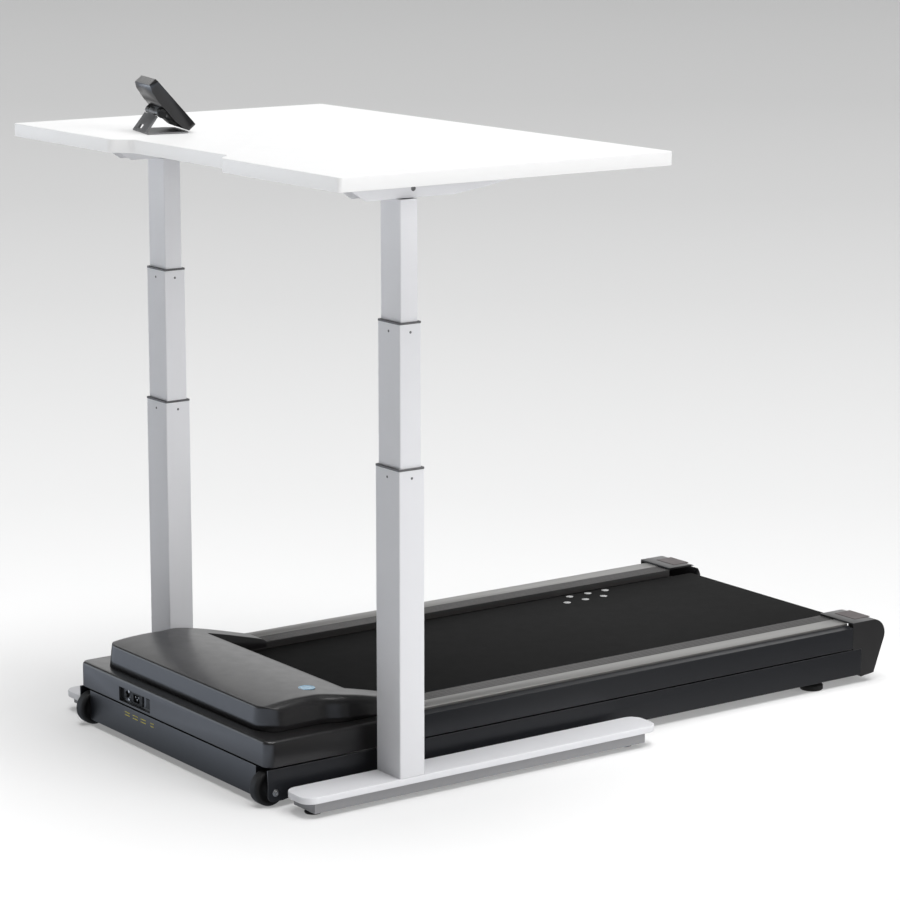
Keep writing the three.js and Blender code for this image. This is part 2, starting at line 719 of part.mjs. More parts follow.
/** Desktop with rounded corners and a shallow cable notch along its far edge. */
function desktop() {
  const { top, depth, width, front, corner } = DESK;
  const plan = rounded(front - depth, front, -width / 2, width / 2, corner);
  return cut(prism("z", plan, UNDERSIDE, top, 5), prism("z", notchPlan(), UNDERSIDE - OVER, top + OVER));
}

/** The notch seen from above: an S-shaped curve from the edge to its floor at each end. */
function notchPlan() {
  const { mouth, floor, depth } = NOTCH;
  const edge = DESK.front;
  const middle = (mouth + floor) / 2;
  const shape = new THREE.Shape();
  shape.moveTo(edge + 5, -mouth);
  shape.lineTo(edge, -mouth);
  shape.bezierCurveTo(edge, -middle, edge - depth, -middle, edge - depth, -floor);
  shape.lineTo(edge - depth, floor);
  shape.bezierCurveTo(edge - depth, middle, edge, middle, edge, mouth);
  shape.lineTo(edge + 5, mouth);
  return shape;
}

// The pieces of a column and its foot are drawn about the column's own axis.

/** One stage of a column: a square tube with small corners. */
function tube({ depth, width, top, bottom }) {
  const outline = (inset) => {
    const [x, y] = [depth / 2 - inset, width / 2 - inset];
    return rounded(-x, x, -y, y, COLUMN.corner - inset / 2);
  };
  return cut(
    prism("z", outline(0), bottom, top, 3),
    prism("z", outline(COLUMN.wall), bottom - OVER, top + OVER, 3),
  );
}

/** Steel foot plate on the floor side of a column, with rounded ends. */
function footPlate() {
  const { front, rear, width, top, plate, corner } = FOOT;
  const outline = rounded(rear - COLUMN.x, front - COLUMN.x, -width / 2, width / 2, corner);
  return prism("z", outline, top - plate, top - CLEARANCE, 8);
}

/** Channel under the foot plate, open downwards and closed at both ends. */
function footChannel() {
  const { bottom, wall } = CHANNEL;
  const top = FOOT.top - FOOT.plate - CLEARANCE;
  const half = FOOT.width / 2 - 4;
  const [rear, front] = [CHANNEL.rear - COLUMN.x, CHANNEL.front - COLUMN.x];
  return cut(
    box(rear, front, -half, half, bottom, top),
    box(rear + wall, front - wall, wall - half, half - wall, bottom - OVER, top - wall),
  );
}

/** Pressed steel arm under the desktop, deep over the column and tapering to both ends. */
function supportArm() {
  const { bottom, half, wall, end } = ARM;
  const top = UNDERSIDE - CLEARANCE;
  const [rear, front] = [ARM.rear - COLUMN.x, ARM.front - COLUMN.x];
  const outline = [
    [rear, top - end],
    [-180, bottom + 9],
    [-110, bottom],
    [90, bottom],
    [112, bottom + 14],
    [front, top - end],
    [front, top],
    [rear, top],
  ];
  const hollow = box(rear - OVER, front + OVER, wall - half, half - wall, 0, top - wall);
  const cap = box(-34, 34, -half, half, bottom, bottom + 4);
  return join(cut(prism("y", outline, -half, half), hollow), cap);
}

/** Frame tube under the desktop, from arm to arm. */
function crossbeam() {
  const { half, height, wall } = BEAM;
  const end = COLUMN.y - ARM.half - CLEARANCE;
  const top = UNDERSIDE - CLEARANCE;
  return cut(
    box(-half, half, -end, end, top - height, top),
    box(wall - half, half - wall, -end - OVER, end + OVER, top - height + wall, top - wall),
  );
}

function controlBox() {
  const { rear, front, half, height } = CONTROL_BOX;
  const top = UNDERSIDE - CLEARANCE;
  return prism("z", rounded(rear, front, -half, half, 8), top - height, top, 4);
}

// The hand switch and its rocker are drawn about the rocker's pin.

/** Hand switch under the walker's edge of the desktop, with an opening for its rocker. */
function handset() {
  const tall = HANDSET.height / 2;
  const outline = [
    [-32, -tall],
    [26, -tall],
    [30, tall],
    [-26, tall],
  ];
  const body = prism("y", outline, -HANDSET.width / 2, HANDSET.width / 2);
  return cut(body, box(-40, -18, -21, 21, 4 - tall, tall - 4));
}

/** The rocker that raises or lowers the desk: a shallow V seen from above. */
function handsetRocker() {
  const outline = [
    [-20, -19],
    [-20, 19],
    [-34, 19],
    [-32.5, 0],
    [-34, -19],
  ];
  return prism("z", outline, -6, 6);
}

// ---- console --------------------------------------------------------------------------------------
// The stand's frame has its origin on the desktop under the hinge, +X away from the walker.
// The housing's frame has its origin on the hinge axis, +X up along the slab, +Z out of the screen.

/** A piece of the hinge, about the axis at height z, between two distances off its middle. */
const barrel = (z, from, to, radius = HINGE.radius) => cylinder("y", [0, 0, z], from, to, radius, 20);

/** Stand: a plate folded up from the desktop, with the middle barrel of the hinge on its end. */
function consoleStand() {
  const z = CONSOLE.pivotHeight;
  const base = prism("z", rounded(-56, 32, -52, 62, [16, 5, 5, 16]), CLEARANCE, 3, 4);
  const outline = [
    [32, 0.5],
    [32, 3],
    [9, 33],
    [3, z + 3],
    [-3, z - 3],
    [5, 33],
    [28, 0.5],
  ];
  const upright = prism("y", outline, -46, 42);
  const hole = box(10, 40, -22, 2, 6, 15);
  const reach = HINGE.middle - HINGE.gap / 2;
  const clear = [barrel(z, -HINGE.outer, -reach, HINGE.end), barrel(z, reach, HINGE.outer, HINGE.end)];
  return join(cut(join(base, upright), hole, ...clear), barrel(z, -HINGE.middle, HINGE.middle));
}

/** Housing: thin at its edges and deeper across the back, with knuckles and the hinge's knob. */
function consoleHousing() {
  const { low, high, half, face, edge, back, corner } = SLAB;
  const section = [
    [low, face],
    [low, edge],
    [low + 12, edge - 6],
    [-30, back],
    [22, back],
    [high - 13, edge - 6],
    [high, edge],
    [high, face],
  ];
  const plan = prism("z", rounded(low, high, -half, half, corner), 0, 60, 4);
  const slab = prism("y", section, -half, half).intersect(plan);
  const bracket = box(-10, 8, -40, 38, 0, back + OVER);
  const reach = HINGE.middle + HINGE.gap;
  const knuckles = [barrel(0, -42, -reach), barrel(0, reach, 40), barrel(0, 39, HINGE.outer, 8)];
  const throat = barrel(0, 0.4 - reach, reach - 0.4, HINGE.radius + 2);
  const window = prism("z", paneOutline(0), face - PANE.depth, 60, 3);
  const pockets = KEYS.map(({ y }) => keySolid(y, KEY.pocket, face - 4, 60));
  return join(cut(join(slab, bracket), throat, window, ...pockets), ...knuckles);
}

/** The display window, `gap` inside its opening. */
function paneOutline(gap) {
  const half = SLAB.half - PANE.margin - gap;
  return rounded(PANE.low + gap, PANE.high - gap, -half, half, 4);
}

const consoleScreen = () =>
  prism("z", paneOutline(CLEARANCE), SLAB.face - PANE.depth + CLEARANCE, SLAB.face - 0.3, 3);

/** A key, or the pocket that it sits in, between two heights over the hinge axis. */
function keySolid(y, grow, from, to) {
  const [along, across] = [KEY.half + grow, KEY.across + grow];
  const outline = rounded(KEY.x - along, KEY.x + along, y - across, y + across, KEY.corner);
  return prism("z", outline, from, to, 4);
}

// ---- put together ---------------------------------------------------------------------------------

const treadmill = group(root, 0, 0, 0);
addPair(treadmill, "side_panel", sidePanel(), "powderBlack");
add(treadmill, "front_panel", frontPanel(), "powderBlack");
addPair(treadmill, "side_band", sideBand(), "powderBlack");
addPair(treadmill, "foot_rail", footRail(), "aluminium");
addPair(treadmill, "end_cap", endCap(), "plastic");
for (const end of ["front", "rear"]) {
  add(treadmill, `cross_member_${end}`, crossMember(), "powderBlack", [CROSS_MEMBERS[end], 0, 0]);
}
add(treadmill, "motor_shroud", motorShroud(), "plastic");
add(treadmill, "motor_hood", motorHood(), "plastic");
add(treadmill, "deck_board", deckBoard(), "board");
add(treadmill, "walking_belt", walkingBelt(), "beltRubber", REAR_AXIS);
add(treadmill, "front_roller", drivenRoller(), "steel", FRONT_AXIS);
add(treadmill, "rear_roller", roller(), "steel", REAR_AXIS);
add(treadmill, "front_axle", axle(), "steel", FRONT_AXIS);
add(treadmill, "rear_axle", axle(), "steel", REAR_AXIS);
add(treadmill, "drive_belt", driveBelt(), "rubber", FRONT_AXIS);
add(treadmill, "motor_body", motorBody(), "powderGrey", MOTOR_AXIS);
add(treadmill, "motor_rotor", motorRotor(), "steel", MOTOR_AXIS);
add(treadmill, "motor_pan", motorPan(), "powderBlack");
add(treadmill, "motor_controller", motorController(), "circuit");
addPair(treadmill, "wheel", transportWheel(), "rubber", [WHEEL.x, WHEEL.y, WHEEL.radius]);
addPair(treadmill, "rear_foot", levellingFoot(REAR_FOOT), "rubber", [REAR_FOOT.x, REAR_FOOT.y, 0]);

const sockets = group(treadmill, SOCKET_BACK, SOCKET.y, SOCKET.z);
add(sockets, "socket_plate", socketPlate(), "plastic");
add(sockets, "power_inlet", powerInlet(), "rubber");
add(sockets, "power_switch", powerSwitch(), "rubber");
add(sockets, "breaker_button", breakerButton(), "rubber");

const desk = group(root, 0, 0, 0);
const columnAt = [COLUMN.x, COLUMN.y, 0];
add(desk, "desktop", desktop(), "laminate");
addPair(desk, "support_arm", supportArm(), "powderWhite", columnAt);
add(desk, "crossbeam", crossbeam(), "powderWhite", [COLUMN.x, 0, 0]);
add(desk, "control_box", controlBox(), "plastic");
for (const [name, stage] of Object.entries(STAGES)) {
  addPair(desk, name, tube(stage), "powderWhite", columnAt);
}
addPair(desk, "foot_plate", footPlate(), "powderWhite", columnAt);
addPair(desk, "foot_channel", footChannel(), "powderGrey", columnAt);
for (const [name, x] of Object.entries(GLIDE_X)) {
  addPair(desk, name, levellingFoot(GLIDE), "rubber", [x, COLUMN.y, 0]);
}

const handSwitch = group(desk, HANDSET.x, HANDSET.y, UNDERSIDE - CLEARANCE - HANDSET.height / 2);
add(handSwitch, "handset", handset(), "plastic");
add(handSwitch, "handset_rocker", handsetRocker(), "rubber");

const consoleBase = group(desk, CONSOLE.x, CONSOLE.y, DESK.top);
consoleBase.rotation.z = THREE.MathUtils.degToRad(-CONSOLE.turn);
add(consoleBase, "console_stand", consoleStand(), "steel");

const consoleHead = group(consoleBase, 0, 0, CONSOLE.pivotHeight);
consoleHead.rotation.y = THREE.MathUtils.degToRad(-CONSOLE.tilt);
add(consoleHead, "console_housing", consoleHousing(), "plastic");
add(consoleHead, "console_screen", consoleScreen(), "glass");
for (const { name, y, finish } of KEYS) {
  add(consoleHead, name, keySolid(y, 0, SLAB.face - KEY.depth, SLAB.face + KEY.proud), finish);
}

export default root;
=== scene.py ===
"""The looks of a treadmill desk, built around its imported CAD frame.

Shapes are worked out in millimetres and put into meshes in metres, in the CAD frame's axes:
+X to the motor end, +Y to the walker's left, +Z up.
"""

import json
import math

import bmesh
import bpy
import numpy as np
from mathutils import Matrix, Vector

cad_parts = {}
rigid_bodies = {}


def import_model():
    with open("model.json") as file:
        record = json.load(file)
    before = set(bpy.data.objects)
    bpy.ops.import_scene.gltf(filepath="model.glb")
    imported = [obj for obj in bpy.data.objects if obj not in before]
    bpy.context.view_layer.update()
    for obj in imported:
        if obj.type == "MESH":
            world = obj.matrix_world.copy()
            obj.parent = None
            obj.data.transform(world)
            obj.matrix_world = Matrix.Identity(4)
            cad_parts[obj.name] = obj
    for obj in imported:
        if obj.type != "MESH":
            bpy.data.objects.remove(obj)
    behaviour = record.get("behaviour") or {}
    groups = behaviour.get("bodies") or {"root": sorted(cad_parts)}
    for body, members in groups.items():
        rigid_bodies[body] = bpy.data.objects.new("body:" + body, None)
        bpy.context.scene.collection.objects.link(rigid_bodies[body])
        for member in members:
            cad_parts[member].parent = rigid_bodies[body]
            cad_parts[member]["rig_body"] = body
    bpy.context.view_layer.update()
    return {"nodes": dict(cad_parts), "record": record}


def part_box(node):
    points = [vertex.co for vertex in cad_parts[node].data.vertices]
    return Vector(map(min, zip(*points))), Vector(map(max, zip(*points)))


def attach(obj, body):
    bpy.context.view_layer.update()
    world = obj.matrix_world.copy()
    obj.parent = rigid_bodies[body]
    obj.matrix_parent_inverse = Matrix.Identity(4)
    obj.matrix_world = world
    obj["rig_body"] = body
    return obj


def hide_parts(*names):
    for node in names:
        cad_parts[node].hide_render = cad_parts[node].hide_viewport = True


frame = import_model()
NODES = frame["nodes"]
SLOT_OF = {part["node"]: part["material_slot"] for part in frame["record"]["subparts"]}
MM = 0.001
SIDES = {"left": 1, "right": -1}


def extent(node):
    """Lowest and highest corner of a CAD node in millimetres."""
    low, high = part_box(node)
    return np.array(low) / MM, np.array(high) / MM


# ---- camera ------------------------------------------------------------------------------------


def make_camera():
    """A long lens well in front of the object's left corner, looking slightly down at it."""
    camera = bpy.data.cameras.new("camera")
    camera.lens = 125.4
    camera.sensor_width = 36.0
    camera.clip_end = 200.0
    holder = bpy.data.objects.new("camera", camera)
    bpy.context.scene.collection.objects.link(holder)
    holder.location = (3.8215, 5.2014, 1.8576)
    yaw, pitch = 4.0914, -0.2008
    aim = Vector(
        (math.cos(yaw) * math.cos(pitch), math.sin(yaw) * math.cos(pitch), math.sin(pitch))
    )
    holder.rotation_euler = aim.to_track_quat("-Z", "Y").to_euler()
    bpy.context.scene.camera = holder


make_camera()

# ---- shader groups -------------------------------------------------------------------------------


def new_group(name, inputs, outputs):
    """An empty shader group; inputs are (name, type, default), outputs are (name, type)."""
    tree = bpy.data.node_groups.new(name, "ShaderNodeTree")
    for label, kind, value in inputs:
        made = tree.interface.new_socket(label, in_out="INPUT", socket_type=kind)
        if value is not None:
            made.default_value = value
    for label, kind in outputs:
        tree.interface.new_socket(label, in_out="OUTPUT", socket_type=kind)
    return tree, tree.nodes.new("NodeGroupInput"), tree.nodes.new("NodeGroupOutput")


def fill(tree, node, inputs):
    """Give a node its inputs, each {socket: value} set and each {socket: output socket} linked."""
    for socket, value in inputs.items():
        if isinstance(value, bpy.types.NodeSocket):
            tree.links.new(value, node.inputs[socket])
        else:
            node.inputs[socket].default_value = value


def add_node(tree, kind, inputs=None, **settings):
    """A node with its settings and inputs."""
    node = tree.nodes.new(kind)
    for key, value in settings.items():
        setattr(node, key, value)
    fill(tree, node, inputs or {})
    return node


def arithmetic(tree, operation, a, b, clamp=False):
    """Output of a maths node on two values or sockets."""
    node = add_node(tree, "ShaderNodeMath", {0: a, 1: b}, operation=operation, use_clamp=clamp)
    return node.outputs[0]


def mixed(tree, factor, a, b):
    """Output of a mix of two colours; 6, 7 and output 2 are the node's colour sockets."""
    node = add_node(tree, "ShaderNodeMix", data_type="RGBA")
    fill(tree, node, {0: factor, 6: a, 7: b})
    return node.outputs[2]


def surface_group():
    """Colour mottling, uneven gloss and a fine grain, with edges rubbed towards another colour."""
    tree, source, sink = new_group(
        "worn_surface",
        [
            ("Vector", "NodeSocketVector", None),
            ("Colour", "NodeSocketColor", (0.5, 0.5, 0.5, 1)),
            ("Mottle", "NodeSocketFloat", 0.1),
            ("Roughness", "NodeSocketFloat", 0.5),
            ("Gloss spread", "NodeSocketFloat", 0.1),
            ("Grain", "NodeSocketFloat", 900.0),
            ("Wear", "NodeSocketFloat", 0.2),
            ("Wear colour", "NodeSocketColor", (0.3, 0.3, 0.3, 1)),
        ],
        [
            ("Colour", "NodeSocketColor"),
            ("Roughness", "NodeSocketFloat"),
            ("Height", "NodeSocketFloat"),
        ],
    )
    out = source.outputs

    # three noises: wide clouds, hand-sized smudges and a fine grain
    cloud = add_node(
        tree, "ShaderNodeTexNoise", {"Vector": out["Vector"], "Scale": 5.0, "Detail": 5.0}
    )
    smudge = add_node(
        tree, "ShaderNodeTexNoise", {"Vector": out["Vector"], "Scale": 38.0, "Detail": 4.0}
    )
    grain = add_node(
        tree,
        "ShaderNodeTexNoise",
        {"Vector": out["Vector"], "Scale": out["Grain"], "Detail": 2.0},
    )

    # the colour is scaled by one plus the clouds and specks about their mean
    centred = arithmetic(tree, "SUBTRACT", cloud.outputs["Fac"], 0.5)
    speck = arithmetic(tree, "SUBTRACT", grain.outputs["Fac"], 0.5)
    both = arithmetic(tree, "ADD", centred, arithmetic(tree, "MULTIPLY", speck, 0.6))
    depth = arithmetic(tree, "MULTIPLY", out["Mottle"], 2.0)
    shade = arithmetic(tree, "ADD", arithmetic(tree, "MULTIPLY", both, depth), 1.0)
    toned = add_node(tree, "ShaderNodeVectorMath", operation="SCALE")
    tree.links.new(out["Colour"], toned.inputs[0])
    tree.links.new(shade, toned.inputs["Scale"])

    # an edge is where a rounded-off normal turns away from the true one
    soft = add_node(tree, "ShaderNodeBevel", {"Radius": 0.0025}, samples=4)
    flat = add_node(tree, "ShaderNodeNewGeometry")
    turn = add_node(tree, "ShaderNodeVectorMath", operation="DOT_PRODUCT")
    tree.links.new(soft.outputs["Normal"], turn.inputs[0])
    tree.links.new(flat.outputs["Normal"], turn.inputs[1])
    edge = arithmetic(
        tree, "MULTIPLY", arithmetic(tree, "SUBTRACT", 1.0, turn.outputs["Value"]), 5.0, clamp=True
    )
    broken = arithmetic(tree, "MULTIPLY", edge, smudge.outputs["Fac"])
    rubbed = arithmetic(tree, "MULTIPLY", broken, out["Wear"], clamp=True)
    tree.links.new(mixed(tree, rubbed, toned.outputs[0], out["Wear colour"]), sink.inputs["Colour"])

    # smudges make the gloss uneven
    uneven = arithmetic(
        tree,
        "MULTIPLY",
        arithmetic(tree, "SUBTRACT", smudge.outputs["Fac"], 0.5),
        out["Gloss spread"],
    )
    tree.links.new(
        arithmetic(tree, "ADD", out["Roughness"], uneven, clamp=True), sink.inputs["Roughness"]
    )
    tree.links.new(grain.outputs["Fac"], sink.inputs["Height"])
    return tree


def weave_group():
    """Two crossed sets of threads: the product of a sine along each direction."""
    tree, source, sink = new_group(
        "weave",
        [("Vector", "NodeSocketVector", None), ("Threads per metre", "NodeSocketFloat", 800.0)],
        [("Height", "NodeSocketFloat")],
    )
    split = add_node(tree, "ShaderNodeSeparateXYZ")
    tree.links.new(source.outputs["Vector"], split.inputs[0])
    turns = arithmetic(tree, "MULTIPLY", source.outputs["Threads per metre"], math.tau)
    waves = [
        add_node(
            tree,
            "ShaderNodeMath",
            {0: arithmetic(tree, "MULTIPLY", split.outputs[axis], turns)},
            operation="SINE",
        ).outputs[0]
        for axis in ("X", "Y")
    ]
    product = arithmetic(tree, "MULTIPLY", waves[0], waves[1])
    tree.links.new(
        arithmetic(tree, "ADD", arithmetic(tree, "MULTIPLY", product, 0.5), 0.5),
        sink.inputs["Height"],
    )
    return tree


SURFACE = surface_group()
WEAVE = weave_group()

# ---- finishes ------------------------------------------------------------------------------------


def grey(value, blue=0.0):
    """An even grey, or one with its blue raised by a share."""
    return (value, value, value * (1 + blue), 1)


def finish(
    name,
    colour,
    roughness,
    mottle=0.06,
    spread=0.12,
    grain=900.0,
    bump=0.00004,
    wear=0.15,
    rubbed=None,
    stretch=(1, 1, 1),
    metallic=0.0,
    specular=0.5,
    coat=0.0,
):
    """A material on the shared surface group, its pattern stretched by a scale on each axis."""
    material = bpy.data.materials.new(name)
    material.use_nodes = True
    tree = material.node_tree
    shader = tree.nodes["Principled BSDF"]
    place = add_node(tree, "ShaderNodeTexCoord")
    mapping = add_node(tree, "ShaderNodeMapping", {"Scale": stretch})
    tree.links.new(place.outputs["Object"], mapping.inputs["Vector"])
    lighter = tuple(min(1.0, c * 2.5 + 0.03) for c in colour[:3]) + (1,)
    surface = add_node(tree, "ShaderNodeGroup", node_tree=SURFACE)
    values = {
        "Colour": colour,
        "Mottle": mottle,
        "Roughness": roughness,
        "Gloss spread": spread,
        "Grain": grain,
        "Wear": wear,
        "Wear colour": rubbed or lighter,
    }
    fill(tree, surface, {**values, "Vector": mapping.outputs["Vector"]})
    relief = add_node(tree, "ShaderNodeBump", {"Strength": 0.6, "Distance": bump})
    tree.links.new(surface.outputs["Height"], relief.inputs["Height"])
    tree.links.new(surface.outputs["Colour"], shader.inputs["Base Color"])
    tree.links.new(surface.outputs["Roughness"], shader.inputs["Roughness"])
    tree.links.new(relief.outputs["Normal"], shader.inputs["Normal"])
    shader.inputs["Metallic"].default_value = metallic
    shader.inputs["Specular IOR Level"].default_value = specular
    shader.inputs["Coat Weight"].default_value = coat
    return material


def parts_of(material):
    """A finish's node tree, its shader, its surface group and its coordinates."""
    tree = material.node_tree
    group = next(n for n in tree.nodes if n.type == "GROUP")
    place = next(n for n in tree.nodes if n.type == "TEX_COORD")
    return tree, tree.nodes["Principled BSDF"], group, place


def rail_finish():
    """Anodised extrusion: pale outer half, darker ribbed inner half, drawn along its length."""
    material = finish(
        "rail", grey(0.3), 0.42, mottle=0.1, grain=500.0, stretch=(0.02, 1, 1), metallic=0.75
    )
    tree, _, group, place = parts_of(material)
    low, high = extent("foot_rail_left")
    split = add_node(tree, "ShaderNodeSeparateXYZ")
    tree.links.new(place.outputs["Object"], split.inputs[0])
    across = arithmetic(tree, "ABSOLUTE", split.outputs["Y"], 0.0)
    outer = arithmetic(tree, "GREATER_THAN", across, float(low[1] + high[1]) / 2 * MM)
    tree.links.new(
        mixed(tree, outer, (0.085, 0.083, 0.082, 1), (0.27, 0.266, 0.258, 1)),
        group.inputs["Colour"],
    )
    return material


def belt_finish():
    """Woven belt top: crossed threads over a matte ground."""
    material = finish("walking_belt", grey(0.011), 0.9, mottle=0.12, specular=0.07, wear=0.0)
    tree, shader, _, place = parts_of(material)
    weave = add_node(tree, "ShaderNodeGroup", node_tree=WEAVE)
    fill(tree, weave, {"Threads per metre": 420.0, "Vector": place.outputs["Object"]})
    relief = add_node(tree, "ShaderNodeBump", {"Strength": 0.5, "Distance": 0.0002})
    tree.links.new(weave.outputs["Height"], relief.inputs["Height"])
    tree.links.new(relief.outputs["Normal"], shader.inputs["Normal"])
    return material


def laminate_finish():
    """White laminate with painted light: it glows faintly, which keeps its edges pale in the shade.
    """
    material = finish(
        "desktop_white", grey(0.5), 0.42, mottle=0.01, grain=1000.0, bump=0.00002, wear=0.0,
        specular=0.3,
    )
    tree, shader, group, _ = parts_of(material)
    # painted light: the laminate glows with its own colour
    tree.links.new(group.outputs["Colour"], shader.inputs["Emission Color"])
    shader.inputs["Emission Strength"].default_value = 0.6
    return material


FINISH = {
    "cover_plastic": finish(
        "cover_plastic", (0.0115, 0.011, 0.0115, 1), 0.3, mottle=0.08, spread=0.1,
        grain=1400.0, bump=0.00003, wear=0.3, rubbed=grey(0.07), specular=0.6,
    ),
    "frame_black": finish(
        "frame_black", (0.0085, 0.0092, 0.0115, 1), 0.34, mottle=0.1, grain=1100.0,
        bump=0.00004, wear=0.6, rubbed=grey(0.12), specular=0.45,
    ),
    "rail": rail_finish(),
    "steel": finish(
        "steel", grey(0.42), 0.34, grain=700.0, stretch=(1, 0.05, 1), metallic=1.0, wear=0.3
    ),
    "walking_belt": belt_finish(),
    "black_rubber": finish("black_rubber", grey(0.009), 0.6, grain=700.0, specular=0.3),
    "deck": finish(
        "deck", (0.022, 0.018, 0.015, 1), 0.7, mottle=0.3, grain=420.0, stretch=(0.15, 1, 1)
    ),
    "motor_grey": finish("motor_grey", grey(0.14, 0.06), 0.5, grain=800.0),
    "circuit": finish("circuit", (0.02, 0.11, 0.045, 1), 0.5, mottle=0.35, grain=260.0),
    "column_white": finish(
        "column_white", (0.65, 0.652, 0.672, 1), 0.5, mottle=0.012, grain=1300.0,
        bump=0.00005, wear=0.15, rubbed=grey(0.9), specular=0.4,
    ),
    "channel_grey": finish(
        "channel_grey", grey(0.24, 0.03), 0.38, mottle=0.05, grain=900.0, wear=0.3
    ),
    "desktop_white": laminate_finish(),
    "stand_grey": finish("stand_grey", grey(0.17, 0.03), 0.45, grain=1200.0, wear=0.4),
    "screen": finish(
        "screen", (0.012, 0.014, 0.017, 1), 0.09, mottle=0.02, spread=0.05, wear=0.0, coat=0.6
    ),
    "key_green": finish("key_green", (0.05, 0.28, 0.08, 1), 0.42),
    "key_red": finish("key_red", (0.42, 0.025, 0.02, 1), 0.42),
    "key_grey": finish("key_grey", grey(0.08), 0.42),
    "mark_grey": finish("mark_grey", grey(0.33), 0.7, wear=0.0),
    "mark_yellow": finish("mark_yellow", (0.42, 0.36, 0.05, 1), 0.6, wear=0.0),
    "pad_brown": finish("pad_brown", (0.030, 0.018, 0.018, 1), 0.4, mottle=0.1, wear=0.1),
    "badge_blue": finish("badge_blue", (0.30, 0.55, 0.75, 1), 0.2, mottle=0.2, wear=0.0),
    "collar_grey": finish("collar_grey", grey(0.11, 0.03), 0.55, wear=0.1),
}

# ---- shapes --------------------------------------------------------------------------------------
# A shape is (points, faces): an (n, 3) array in millimetres and an (m, 4) array of corners.


def grid(points, wrap_rows=False, wrap_columns=False):
    """The quads between neighbouring rows and columns of a (rows, columns, 3) array."""
    rows, columns = points.shape[:2]
    i = np.arange(rows if wrap_rows else rows - 1)[:, None]
    j = np.arange(columns if wrap_columns else columns - 1)[None, :]
    next_i, next_j = (i + 1) % rows, (j + 1) % columns
    corners = (i * columns + j, i * columns + next_j, next_i * columns + next_j, next_i * columns + j)
    return points.reshape(-1, 3), np.stack(corners, -1).reshape(-1, 4)


def together(*shapes):
    """Several shapes as one, each one's corner numbers raised by the points before it."""
    starts = np.cumsum([0] + [len(points) for points, _ in shapes[:-1]])
    points = np.concatenate([p for p, _ in shapes])
    return points, np.concatenate([f + s for (_, f), s in zip(shapes, starts)])


def lathe(profile, centre, axis="z", segments=40):
    """A profile of (distance, radius) pairs turned about an axis: radius times cosine and sine."""
    along, radius = np.array(profile, float).T
    turn = np.linspace(0, math.tau, segments, endpoint=False)
    ring = [np.outer(radius, np.cos(turn)), np.outer(radius, np.sin(turn))]
    up = np.repeat(along[:, None], segments, 1)
    order = {"x": (up, *ring), "y": (ring[1], up, ring[0]), "z": (*ring, up)}[axis]
    return grid(np.stack(order, -1) + np.array(centre, float), wrap_columns=True)


def rounded_outline(half_a, half_b, radius, steps=5):
    """Points of a rectangle with rounded corners, a quarter of a circle at each."""
    quarter = np.linspace(0, math.pi / 2, steps)
    turn = np.concatenate([quarter + k * math.pi / 2 for k in range(4)])
    a = np.repeat([1, -1, -1, 1], steps) * (half_a - radius) + radius * np.cos(turn)
    b = np.repeat([1, 1, -1, -1], steps) * (half_b - radius) + radius * np.sin(turn)
    return np.stack([a, b], -1)


def ring(outer, inner, centre, low, high, lip=0.6):
    """A flat ring between two outlines, its upper outer edge rounded off by `lip`."""
    shrunk = outer * (1 - lip / np.abs(outer).max(0))
    levels = [(outer, low), (outer, high - lip), (shrunk, high), (inner, high), (inner, low)]
    rows = [np.column_stack([o, np.full(len(o), z)]) for o, z in levels]
    return grid(np.array(rows) + np.array(centre, float), wrap_rows=True, wrap_columns=True)


def block(low, high):
    """A closed box: a rectangle with barely rounded corners carried up, each end drawn to a point."""
    low, high = np.array(low, float), np.array(high, float)
    middle = (low + high) / 2
    outline = rounded_outline(*(high - low)[:2] / 2, 0.3, 3)
    rows = [
        np.column_stack([outline * scale + middle[:2], np.full(len(outline), z)])
        for scale, z in ((0, low[2]), (1, low[2]), (1, high[2]), (0, high[2]))
    ]
    return grid(np.array(rows), wrap_columns=True)


def mirror_y(shape):
    """The shape on the object's other side: Y changes sign and each face is wound the other way."""
    points, faces = shape
    return points * np.array([1, -1, 1]), faces[:, ::-1]


def piece(name, shape, look, body, replaced=()):
    """A finished object from a shape: doubles merged, faces out, riding on its body."""
    points, faces = shape
    mesh = bpy.data.meshes.new(name)
    mesh.from_pydata((points * MM).tolist(), [], faces.tolist())
    work = bmesh.new()
    work.from_mesh(mesh)
    bmesh.ops.remove_doubles(work, verts=work.verts, dist=1e-6)
    bmesh.ops.dissolve_degenerate(work, edges=work.edges, dist=1e-7)
    bmesh.ops.recalc_face_normals(work, faces=work.faces)
    work.to_mesh(mesh)
    work.free()
    return dressed(name, mesh, look, body, replaced)


def dressed(name, mesh, look, body, replaced):
    """An object for a mesh, smooth, in its finish and on its body."""
    mesh.polygons.foreach_set("use_smooth", np.ones(len(mesh.polygons), bool))
    mesh.materials.append(FINISH[look])
    made = bpy.data.objects.new(name, mesh)
    bpy.context.scene.collection.objects.link(made)
    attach(made, body)
    if replaced:
        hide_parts(*replaced)
    return made


def rounded_edges(made, width):
    """Round every edge that turns by more than 30 degrees."""
    bevel = made.modifiers.new("rounded edges", "BEVEL")
    bevel.width = width * MM
    bevel.segments = 3
    bevel.limit_method = "ANGLE"
    bevel.angle_limit = math.radians(30)
    bevel.harden_normals = True


def softened(node, width):
    """The CAD node's own shape with flat faces joined and every sharp edge rounded."""
    mesh = bpy.data.meshes.new(node + "_finished")
    work = bmesh.new()
    work.from_mesh(NODES[node].data)
    bmesh.ops.remove_doubles(work, verts=work.verts, dist=2e-6)
    bmesh.ops.dissolve_limit(
        work, angle_limit=math.radians(0.6), verts=work.verts, edges=work.edges
    )
    work.to_mesh(mesh)
    work.free()
    slot = SLOT_OF[node]
    body = NODES[node]["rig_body"]
    rounded_edges(dressed(node + "_finished", mesh, slot, body, (node,)), width)


# ---- treadmill -----------------------------------------------------------------------------------


